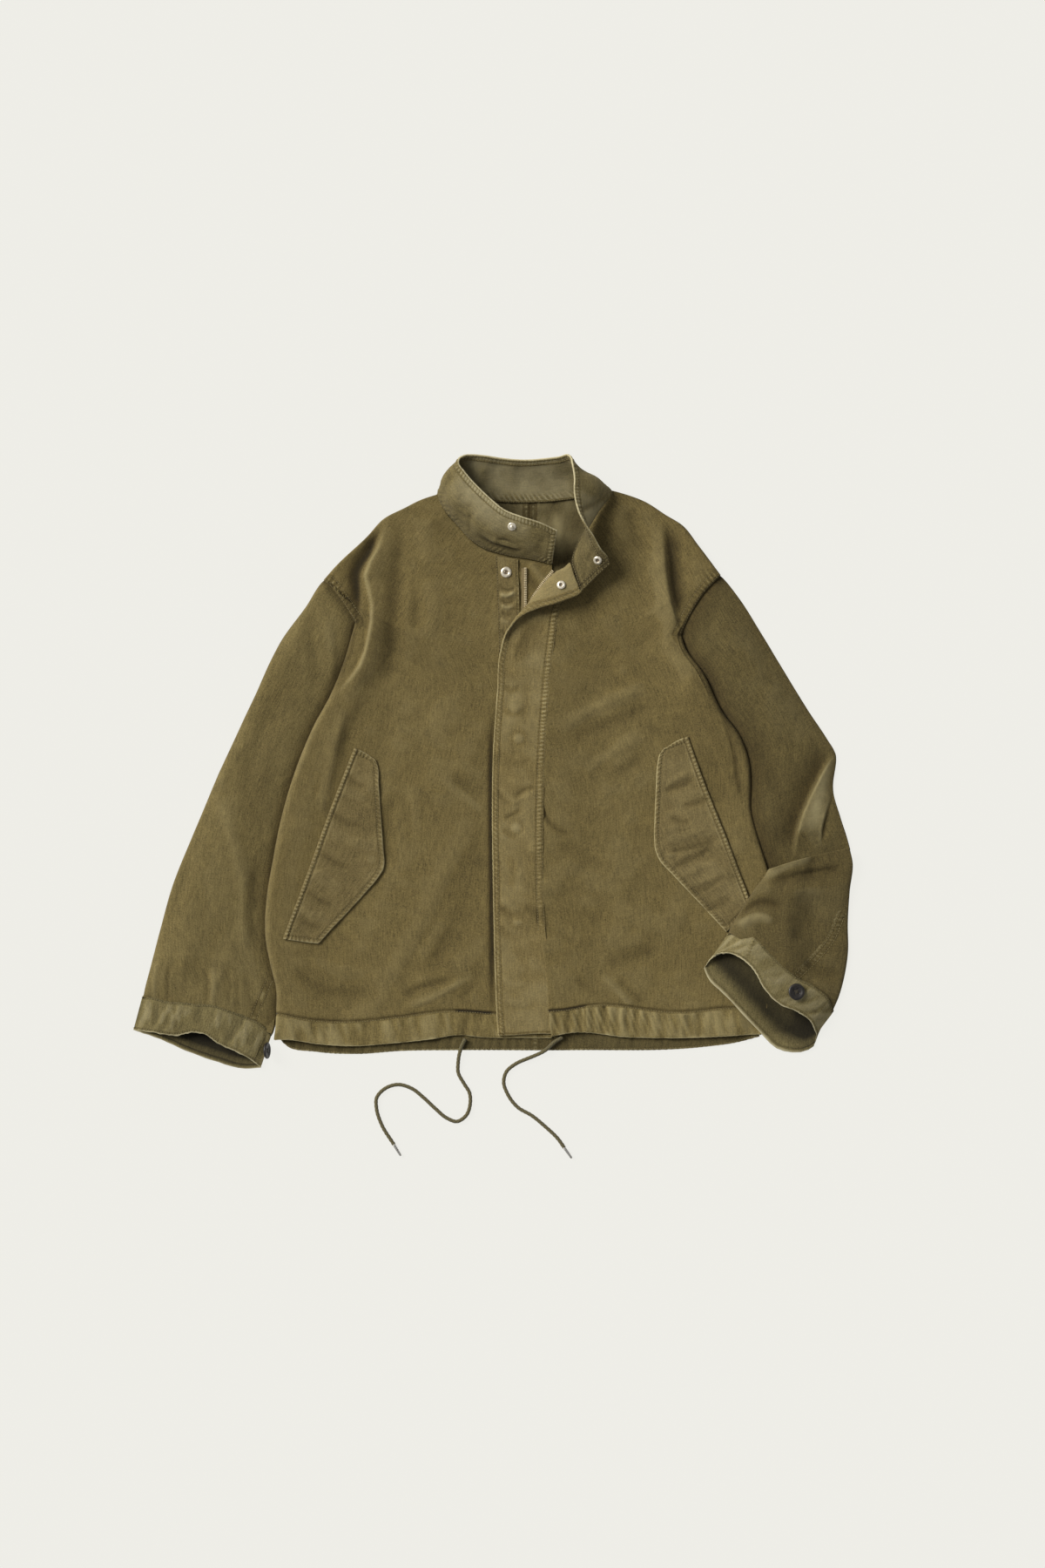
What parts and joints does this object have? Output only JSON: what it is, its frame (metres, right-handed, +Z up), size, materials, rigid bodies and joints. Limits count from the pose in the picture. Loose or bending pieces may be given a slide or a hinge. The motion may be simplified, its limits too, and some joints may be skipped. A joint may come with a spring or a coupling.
{
  "type": "field jacket",
  "caption": "Olive cotton field jacket laid flat, front up, with a stand collar, fly front, slanted pocket flaps and a drawcord hem.",
  "frame": {"origin": "on the surface that the jacket lies on, at the middle of its outline without the drawcords", "axes": "+Z up from the surface, +Y from hem to collar, +X towards the wearer's left sleeve"},
  "size_m": [0.868, 0.8492, 0.0492],
  "materials": {
    "twill": "garment-dyed cotton twill, matt",
    "twill_worn": "garment-dyed cotton twill, worn pale at its edges",
    "zip_tape": "woven tape, matt",
    "cord": "round braided cotton cord",
    "snap_metal": "worn nickel plate",
    "zip_metal": "antique pale brass",
    "button": "dark horn-look resin, satin"
  },
  "bodies": {
    "root": {"back_right": "twill", "back_left": "twill", "hem_back": "twill_worn", "front_right": "twill", "front_left": "twill", "hem_front_right": "twill_worn", "hem_front_left": "twill_worn", "sleeve_right": "twill", "sleeve_left_upper": "twill", "sleeve_left_lower": "twill", "cuff_right": "twill_worn", "cuff_left": "twill_worn", "collar": "twill_worn", "fly_flap": "twill_worn", "under_placket": "twill", "zip_tape_right": "zip_tape", "zip_tape_left": "zip_tape", "zip_slider": "zip_metal", "pocket_flap_right": "twill_worn", "pocket_flap_left": "twill_worn", "button_right": "button", "button_left": "button", "snap_placket_post": "snap_metal", "snap_collar_stud": "snap_metal", "snap_collar_socket": "snap_metal", "snap_fly_socket": "snap_metal", "drawcord_right": "cord", "drawcord_left": "cord", "aglet_right": "snap_metal", "aglet_left": "snap_metal"}
  },
  "joints": []
}
